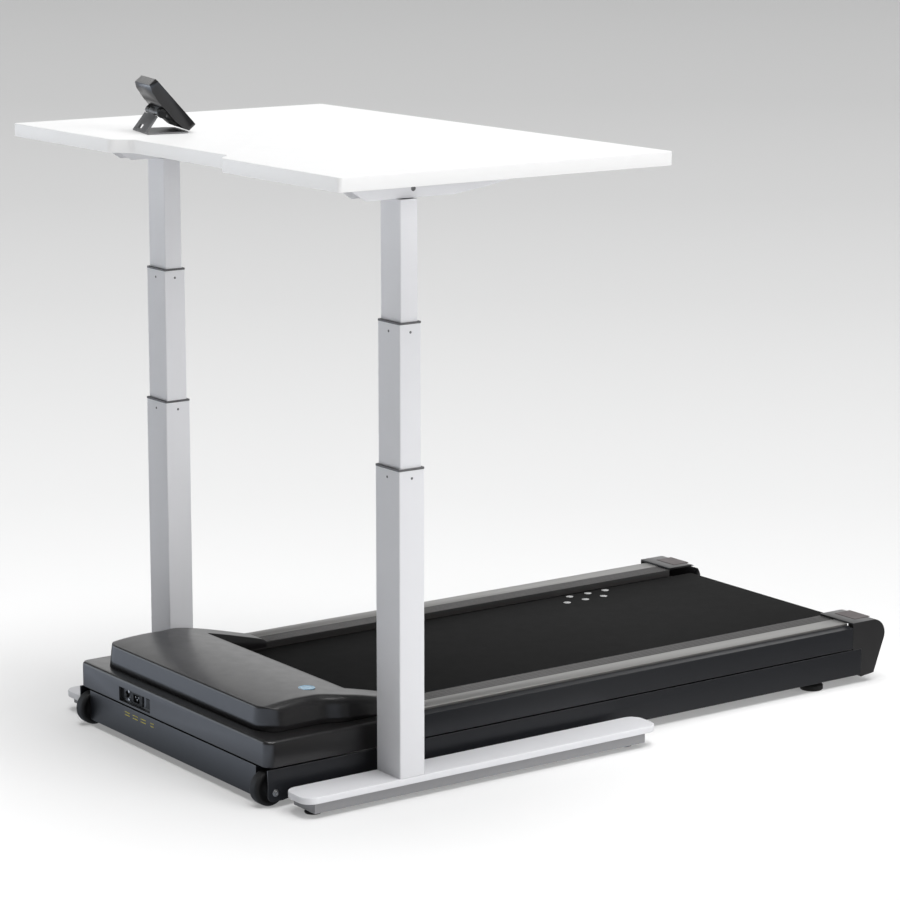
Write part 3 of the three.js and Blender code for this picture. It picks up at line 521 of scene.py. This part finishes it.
def hood():
    """Motor hood as one skin. Its height is a smooth crest along X, less a quarter-circle drop
    near its sides; its front corners are quarter circles in plan, and its walls lean out a little
    to their foot. Behind the crest the middle falls to the belt and a wing runs on over each rail.
    """
    front, rear, lip = 756.0, 539.0, 501.0  # front edge, end of the crest, end of the fall
    half, wing_half, inner = 312.0, 329.0, 257.0  # half widths: front, wings, between the wings
    flare_start, flare_end = 636.0, 575.0  # where the sides swing out to the wings' width
    corner, crease, side, lean = 44.0, 5.0, 20.0, 5.0  # plan corner, front and side roundings, lean
    wing_end, wing_slope, tip = 402.0, 397.0, 394.0  # where a wing starts to close, and its tip
    foot, rail_top, over_belt = 131.5, 133.5, 122.0  # heights the skin stands on or ends at
    shoulder_end = 466.0  # behind this the walls stand on the rails

    # the crest's height at distances behind the shroud's front, smoothed by a polynomial
    behind = [30, 60, 100, 145, 200, 247, 284, 316, 340, 365, 392]
    height = [177, 182, 184.5, 185.5, 181.5, 173.5, 165.5, 157.5, 151.5, 144.5, 137]
    crest = np.polynomial.Polynomial.fit(behind, height, 6)
    shroud_front = extent("motor_shroud")[1][0]

    def width_at(x):
        """Half width, eased from the front's to the wings' by a smooth step."""
        t = np.clip((flare_start - x) / (flare_start - flare_end), 0, 1)
        return half + (wing_half - half) * t * t * (3 - 2 * t)

    def spread(y0, x):
        """Widen what lies outside the wings' inner faces to the half width at x."""
        share = np.clip((np.abs(y0) - inner) / (half - inner), 0, 1)
        return np.sign(y0) * (np.minimum(np.abs(y0), inner) + share * (width_at(x) - inner))

    def top(x, y):
        """Crest height less the quarter circle's drop near a side."""
        gap = np.clip(width_at(x) - np.abs(y), 0, side)
        return crest(shroud_front - x) - (side - np.sqrt(side**2 - (side - gap) ** 2))

    # columns of the skin across Y: a middle, and on each side a run to the end of the corner
    turn = np.linspace(0, math.pi / 2, 15)
    arc = half - corner + corner * np.sin(turn)
    side_y = np.concatenate([[inner, (inner + half - corner) / 2], arc])
    side_turn = np.concatenate([[0, 0], turn])
    middle_y = np.linspace(-inner, inner, 24)
    y0 = np.concatenate([-side_y[::-1], middle_y[1:-1], side_y])
    phi = np.concatenate([-side_turn[::-1], np.zeros(len(middle_y) - 2), side_turn])
    edge_x = front - corner * (1 - np.cos(phi))
    small = crease * np.cos(phi)
    edge_y = spread(y0, edge_x)
    edge_z = top(edge_x - small, edge_y)

    # rows up the front wall, over its edge and back along the crest
    rows = []
    wall_shares = (0.0, 0.35, 0.7, 1.0)
    for share in wall_shares:
        out = lean * (1 - share)
        z = foot + (edge_z - small - foot) * share
        rows.append(np.stack([edge_x + out * np.cos(phi), edge_y + out * np.sin(phi), z], -1))
    for angle in np.linspace(0, math.pi / 2, 6)[1:]:
        x = edge_x - small * (1 - math.cos(angle))
        rows.append(np.stack([x, edge_y, edge_z - small * (1 - math.sin(angle))], -1))
    edge_row = len(rows) - 1
    start = edge_x - small
    for share in np.linspace(0, 1, 34)[1:]:
        x = start + (rear - start) * share
        y = spread(y0, x)
        rows.append(np.stack([x, y, top(x, y)], -1))
    front_and_crest = grid(np.array(rows))

    # the middle's fall to the belt
    fall = np.linspace(0, 1, 8)
    fall_x = rear + (lip - rear) * fall
    crest_rear = crest(shroud_front - rear)
    fall_z = crest_rear + (over_belt - crest_rear) * fall**1.15
    middle = grid(
        np.stack(
            [
                np.repeat(fall_x[:, None], len(middle_y), 1),
                np.repeat(middle_y[None, :], len(fall_x), 0),
                np.repeat(fall_z[:, None], len(middle_y), 1),
            ],
            -1,
        )
    )

    # a wing's top and the wall between it and the middle
    wing_x = np.concatenate([fall_x, np.linspace(lip, wing_end, 16)[1:], [wing_slope, tip]])
    wing_low = np.concatenate([fall_z, np.full(len(wing_x) - len(fall_z), over_belt)])
    xx = np.repeat(wing_x[:, None], len(side_y), 1)
    yy = spread(np.repeat(side_y[None, :], len(wing_x), 0), xx)
    sink = np.interp(wing_x, [tip, wing_end], [1.0, 0.0])[:, None]
    zz = top(xx, yy) * (1 - sink) + rail_top * sink
    wing_top = np.stack([xx, yy, np.maximum(zz, rail_top)], -1)
    inner_wall = np.stack([wing_top[:, 0], wing_top[:, 0]], 0)
    inner_wall[1, :, 2] = wing_low

    # the outer wall, from the top edge down to what it stands on
    crest_end = np.array(rows)[edge_row:, -1]
    edge = np.concatenate([crest_end, wing_top[1:, -1]])
    base = np.where(edge[:, 0] > shoulder_end, foot, rail_top)
    wall = []
    for share in wall_shares[::-1]:
        z = base + (edge[:, 2] - base) * share
        wall.append(np.stack([edge[:, 0], edge[:, 1] + lean * (1 - share), z], -1))
    one_side = together(grid(wing_top), grid(inner_wall), grid(np.array(wall)))
    shape = together(front_and_crest, middle, one_side, mirror_y(one_side))
    plastic = "cover_plastic"
    made = piece("motor_hood_skin", shape, plastic, "chassis", ("motor_hood",))
    thickness = made.modifiers.new("wall", "SOLIDIFY")
    thickness.thickness = 2.5 * MM
    thickness.offset = -1


def wheels():
    """Tyre with round shoulders, a dished hub and its cap, turned about the axle."""
    for name in SIDES:
        low, high = extent("wheel_" + name)
        centre = (low + high) / 2
        half, r = (high[1] - low[1]) / 2, (high[2] - low[2]) / 2
        profile = [
            (-half + 4, 0), (-half + 4, 9), (-half + 5, r - 11), (-half, r - 8),
            (-half + 0.8, r - 2.2), (-half + 3, r - 0.3), (-half + 7, r),
            (half - 7, r), (half - 3, r - 0.3), (half - 0.8, r - 2.2),
            (half, r - 8), (half - 5, r - 11), (half - 4, 9), (half - 2, 8), (half - 2, 0),
        ]
        shape = lathe(profile, centre, "y", 56)
        node = f"wheel_{name}"
        piece(f"{node}_tyre", shape, "black_rubber", node, (node,))


def feet():
    """Levelling feet: a pad with a rounded rim, a round collar and a fine-threaded stud."""
    kinds = [("rear_foot", 25.0, 17.0), ("front_glide", 17.0, 11.0), ("rear_glide", 17.0, 11.0)]
    for kind, radius, tall in kinds:
        for side in SIDES:
            node = f"{kind}_{side}"
            low, high = extent(node)
            centre = (low + high) / 2
            top = high[2]
            threads = np.arange(tall + 1, top, 1.5)
            stud = [(z, 5.0 - 0.6 * (turn % 2)) for turn, z in enumerate(threads)]
            profile = [
                (0, 0), (0, radius - 3), (0.8, radius - 1), (2.5, radius), (tall - 7, radius),
                (tall - 5, radius - 1.2), (tall - 3.4, radius - 5), (tall - 3, radius - 6),
                (tall - 3, 9), (tall, 8.4), (tall, 5), *stud, (top, 4.4), (top, 0),
            ]
            shape = lathe(profile, (centre[0], centre[1], 0), "z", 44)
            piece(node + "_turned", shape, "black_rubber", node, (node,))


def bolt_head(centre, axis, direction, radius, depth):
    """A washer and a six-sided head with a socket in its face: profiles in head radii, turned."""
    rim = [(0, 0), (0, 1.35), (0.8, 1.4), (1.0, 1.3), (1.0, 0)]
    hexagon = [
        (0.9, 0), (0.9, 1), (depth - 0.6, 1), (depth, 0.9), (depth, 0.5), (depth * 0.5, 0.5),
        (depth * 0.5, 0),
    ]
    washer, head = (
        lathe([(direction * along, radius * r) for along, r in profile], centre, axis, segments)
        for profile, segments in ((rim, 32), (hexagon, 6))
    )
    return together(washer, head)


def axle_bolts():
    """A bolt head on each side panel, at the end of its wheel's axle."""
    at_x, at_y, at_z = 769, 365, 30
    for side, sign in SIDES.items():
        shape = bolt_head((at_x, sign * at_y, at_z), "y", sign, 5.0, 3.2)
        piece(f"axle_bolt_{side}", shape, "steel", "chassis")


def end_cap_fittings():
    """Belt tension bolt with its rim on the rear of each end cap, and a plain pad on its top."""
    bolt_y, bolt_z = 300, 92
    pad_y, pad_start, pad_end = (276, 340), 22, 66
    rim_profile = [(0.6, 8), (-0.4, 9.2), (-0.4, 7), (1.0, 6.2)]
    for side, sign in SIDES.items():
        low, high = extent(f"end_cap_{side}")
        rear, top = low[0], high[2]
        rim = lathe(rim_profile, (rear + 1.2, sign * bolt_y, bolt_z), "x", 32)
        head = bolt_head((rear + 1.6, sign * bolt_y, bolt_z), "x", -1, 5.0, 2.0)
        piece(f"tension_bolt_{side}", head, "steel", "chassis")
        piece(f"tension_bolt_rim_{side}", rim, "black_rubber", "chassis")
        pad = block((rear + pad_start, pad_y[0], top - 0.6), (rear + pad_end, pad_y[1], top + 0.7))
        pad = pad if sign > 0 else mirror_y(pad)
        rounded_edges(piece(f"end_cap_pad_{side}", pad, "pad_brown", "chassis"), 0.5)


def belt_marks():
    """Two rows of three thin discs printed near the belt's right edge, one row set back."""
    top = extent("walking_belt")[1][2]
    spots = [(x, -240) for x in (-404, -456, -506)] + [(x, -200) for x in (-366, -418, -470)]
    profile = [(0, 0), (0, 8.5), (0.25, 8.3), (0.3, 0)]
    discs = [lathe(profile, (x, y, top), "z", 28) for x, y in spots]
    piece("belt_marks", together(*discs), "mark_grey", "chassis")


def hood_badge():
    """Plain round badge with a raised rim and a low dome."""
    centre = (618, 243, 184.3)
    profile = [
        (-1.2, 0), (-1.2, 16.5), (0.6, 16.5), (1.0, 15.9), (0.8, 14.6), (0.6, 14.2), (1.1, 8),
        (1.3, 0),
    ]
    piece("hood_badge", lathe(profile, centre, "z", 48), "badge_blue", "chassis")


def sockets():
    """Pins of the inlet, screws round the socket plate and plain marks under its window."""
    face, inlet_y, height = 777.6, -140.5, 98.5
    pins = []
    for dy, dz in ((-6, 2.5), (6, 2.5), (0, -3)):
        y, z = inlet_y + dy, height + dz
        pins.append(block((face - 13, y - 1, z - 2.2), (face + 0.5, y + 1, z + 2.2)))
    piece("inlet_pins", together(*pins), "steel", "chassis")

    screw = [(0, 0), (0, 3.4), (1.6, 3.2), (2.2, 2.4), (2.2, 0)]
    beside_inlet = [(-160, height), (-121, height)]
    at_corners = [(y, z) for y in (-172, -84) for z in (107, 90)]
    screws = [lathe(screw, (face, y, z), "x", 24) for y, z in beside_inlet + at_corners]
    piece("socket_screws", together(*screws), "steel", "chassis")

    front = extent("motor_shroud")[1][0]
    marks = [
        block((front - 0.4, y, z), (front + 0.25, y + width, z + 2.0))
        for y, width in ((-178, 20), (-146, 20), (-114, 20), (-76, 14))
        for z in (58, 64)
    ]
    piece("socket_marks", together(*marks), "mark_yellow", "chassis")


# ---- desk ----------------------------------------------------------------------------------------


def stage_trim(side, stage, next_stage, body):
    """A plastic collar where one tube slides out of another, and a screw on each face below it."""
    low, high = extent(f"{stage}_{side}")
    next_low, next_high = extent(f"{next_stage}_{side}")
    centre, top = (low + high) / 2, high[2]
    outer = rounded_outline(*(high - low)[:2] / 2 + 0.7, 3.6)
    inner = rounded_outline(*(next_high - next_low)[:2] / 2 + 0.5, 3.0)
    shape = ring(outer, inner, (centre[0], centre[1], 0), top - 1.6, top + 2.2)
    piece(f"{stage}_collar_{side}", shape, "collar_grey", body)

    screws = []
    for axis, letter in enumerate("xy"):
        for outward, face in ((1, high[axis]), (-1, low[axis])):
            at = np.array([centre[0], centre[1], top - 17])
            at[axis] = face
            profile = [(0, 0), (0, 2.6), (outward * 0.5, 2.3), (outward * 0.5, 0)]
            screws.append(lathe(profile, at, letter, 20))
    piece(f"{stage}_screws_{side}", together(*screws), "collar_grey", body)


def column_trim():
    """Both stages' trim on each column, and a plug on the outer face of the arm above it."""
    plug_x, plug_y, plug_z = 508, 453, 1174
    for side, sign in SIDES.items():
        stage_trim(side, "outer_tube", "middle_tube", "chassis")
        stage_trim(side, "middle_tube", "inner_tube", "column_middle_" + side)
        profile = [(0, 0), (0, 5.2), (sign * 0.8, 4.8), (sign * 1.0, 3.5), (sign * 0.6, 0)]
        plug = lathe(profile, (plug_x, sign * plug_y, plug_z), "y", 28)
        piece(f"arm_plug_{side}", plug, "collar_grey", "desk")


def knob():
    """Ribbed knob on the end of the console's hinge. Along the hinge, each ring's radius is its
    own plus a cosine wave with one crest for each rib; the whole is then turned with the console.
    """
    hinge = np.array([628, -286, 1267])
    bend = math.radians(-14)
    ribs = 16
    along, radius, wave = np.array(
        [(49, 0, 0), (49, 7.5, 0), (49, 8.8, 0.4), (58, 8.8, 0.4), (60, 7.6, 0.2), (60.4, 0, 0)]
    ).T[:, :, None]
    turn = np.linspace(0, math.tau, 6 * ribs, endpoint=False)
    ribbed = radius + wave * np.cos(turn * ribs)
    x, z = ribbed * np.cos(turn), ribbed * np.sin(turn)
    y = np.broadcast_to(along, x.shape)
    cosine, sine = math.cos(bend), math.sin(bend)
    turned = np.stack([x * cosine - y * sine, x * sine + y * cosine, z], -1)
    shape = grid(turned + hinge, wrap_columns=True)
    piece("console_knob", shape, "black_rubber", "console_head")


# ---- carried-over CAD shapes ---------------------------------------------------------------------

# how wide each shape's edges are rounded, in millimetres; the other nodes keep their sharp meshes
PAIRS = {
    "side_panel": 1.0, "side_band": 0.9, "foot_rail": 0.3, "end_cap": 2.2, "support_arm": 0.8,
    "outer_tube": 0.5, "middle_tube": 0.5, "inner_tube": 0.5, "foot_plate": 1.6,
    "foot_channel": 1.0,
}
SINGLES = {
    "front_panel": 1.0, "motor_shroud": 0.8, "socket_plate": 0.4, "power_inlet": 0.4,
    "power_switch": 0.5, "breaker_button": 0.8, "walking_belt": 0.6, "deck_board": 1.0,
    "motor_body": 1.0, "motor_pan": 0.8, "cross_member_front": 0.8, "cross_member_rear": 0.8,
    "desktop": 1.4, "crossbeam": 1.2, "control_box": 2.0, "handset": 1.2, "handset_rocker": 0.8,
    "console_stand": 0.8, "console_housing": 1.6, "console_screen": 0.4, "start_button": 0.7,
    "stop_button": 0.7, "slower_button": 0.7, "faster_button": 0.7,
}
EDGES = {f"{pair}_{side}": width for pair, width in PAIRS.items() for side in SIDES} | SINGLES

for cad_node, width in EDGES.items():
    softened(cad_node, width)
for cad_node, shown in NODES.items():
    if cad_node not in EDGES:
        shown.data.materials.clear()
        shown.data.materials.append(FINISH[SLOT_OF[cad_node]])

hood()
wheels()
feet()
axle_bolts()
end_cap_fittings()
belt_marks()
hood_badge()
sockets()
column_trim()
knob()

# ---- floor and light -----------------------------------------------------------------------------


def set_stops(ramp, stops):
    """Give a colour ramp these (position, colour) stops."""
    elements = ramp.color_ramp.elements
    while len(elements) < len(stops):
        elements.new(1.0)
    for element, (position, colour) in zip(elements, stops):
        element.position = position
        element.color = colour


def floor_finish():
    """Pale floor. Its colour greys with distance behind the object as painted shade, and it glows
    with part of that colour as painted light that lifts the shadows on it. In reflections it is
    instead a
    painted reflection: a ramp along X, bright before the motor end, dark beside the shroud and dim
    along the belt.
    """
    material = bpy.data.materials.new("floor")
    material.use_nodes = True
    tree = material.node_tree
    shader = tree.nodes["Principled BSDF"]
    place = add_node(tree, "ShaderNodeTexCoord").outputs["Object"]

    # painted shade: the colour greys with distance behind the object
    backwards, fade_length, paleness = (-0.582, -0.813, 0), 26.0, 0.592
    away = add_node(tree, "ShaderNodeVectorMath", {0: place, 1: backwards}, operation="DOT_PRODUCT")
    share = arithmetic(tree, "DIVIDE", away.outputs["Value"], fade_length, clamp=True)
    fade = add_node(tree, "ShaderNodeValToRGB", {0: share})
    stops = [
        (0.0, 1.0), (0.032, 0.92), (0.076, 0.835), (0.135, 0.77), (0.215, 0.69), (0.34, 0.61),
        (0.55, 0.54), (0.99, 0.48),
    ]
    set_stops(fade, [(position, grey(paleness * value)) for position, value in stops])
    fill(
        tree,
        shader,
        {
            "Base Color": fade.outputs["Color"],
            "Roughness": 0.9,
            "Specular IOR Level": 0.0,
            # painted light: the floor glows with part of its colour, lifting its shadows
            "Emission Color": fade.outputs["Color"],
            "Emission Strength": 0.42,
        },
    )

    # painted reflection: in glossy rays the floor is a glowing ramp along X
    split = add_node(tree, "ShaderNodeSeparateXYZ", {0: place})
    along = add_node(tree, "ShaderNodeMapRange", {0: split.outputs["X"], 1: -1.0, 2: 1.2})
    glow = add_node(tree, "ShaderNodeValToRGB", {0: along.outputs[0]})
    painted_reflection_stops = [(0.0, grey(0.2)), (0.4, grey(0.34)), (0.62, grey(0.08)), (0.77, grey(0.01))]
    painted_reflection_stops += [(0.82, (0.25, 0.27, 0.3, 1)), (0.93, (0.72, 0.79, 0.92, 1))]
    set_stops(glow, painted_reflection_stops)
    mirrored = add_node(
        tree, "ShaderNodeEmission", {"Color": glow.outputs["Color"], "Strength": 1.6}
    )
    # glossy rays see the painted reflection, all other rays the floor
    path = add_node(tree, "ShaderNodeLightPath")
    chosen = add_node(
        tree,
        "ShaderNodeMixShader",
        {0: path.outputs["Is Glossy Ray"], 1: shader.outputs[0], 2: mirrored.outputs[0]},
    )
    fill(tree, tree.nodes["Material Output"], {"Surface": chosen.outputs[0]})
    return material


def make_floor():
    """One square of floor, wide enough to fill the view in every direction."""
    reach = 80.0
    corners = [(-reach, -reach, 0), (reach, -reach, 0), (reach, reach, 0), (-reach, reach, 0)]
    mesh = bpy.data.meshes.new("floor")
    mesh.from_pydata(corners, [], [(0, 1, 2, 3)])
    mesh.materials.append(floor_finish())
    floor = bpy.data.objects.new("floor", mesh)
    bpy.context.scene.collection.objects.link(floor)


def add_sun(name, source, strength, angle, colour=(1, 1, 1)):
    """A very wide sun, as even as a large softbox; `source` is where it shines from."""
    light = bpy.data.lights.new(name, "SUN")
    light.energy = strength
    light.angle = math.radians(angle)
    light.color = colour
    holder = bpy.data.objects.new(name, light)
    bpy.context.scene.collection.objects.link(holder)
    holder.rotation_euler = Vector(source).to_track_quat("Z", "Y").to_euler()
    return holder


def add_panel(name, place, size, radiance, colour=(1, 1, 1)):
    """A glowing card aimed at the treadmill that only shows in reflections."""
    light = bpy.data.lights.new(name, "AREA")
    light.shape = "RECTANGLE"
    light.size, light.size_y = size
    light.energy = radiance * math.pi * size[0] * size[1]
    light.color = colour
    holder = bpy.data.objects.new(name, light)
    bpy.context.scene.collection.objects.link(holder)
    holder.location = place
    aim = Vector((0, 0, 0.4)) - Vector(place)
    holder.rotation_euler = aim.to_track_quat("-Z", "Y").to_euler()
    holder.visible_diffuse = False
    holder.visible_camera = False
    holder.visible_shadow = False


def make_light():
    """Dim surroundings, a low key from the walker's left, a broad overhead and two light panels."""
    world = bpy.data.worlds.new("studio")
    world.use_nodes = True
    background = world.node_tree.nodes["Background"]
    background.inputs["Color"].default_value = (0.98, 0.99, 1.0, 1)
    background.inputs["Strength"].default_value = 0.16
    bpy.context.scene.world = world
    bpy.context.scene.view_settings.view_transform = "Standard"
    key = add_sun("key", (-0.42, 1.0, 0.24), 1.85, 36)
    key.visible_glossy = False
    add_sun("overhead", (-0.1, 0.1, 1.0), 3.5, 50)
    add_panel("back_card", (-4.8, -6.6, 2.4), (9.0, 4.4), 0.9)
    add_panel("front_card", (3.2, -4.4, 1.3), (4.0, 2.2), 2.0, (0.85, 0.92, 1.0))


make_floor()
make_light()
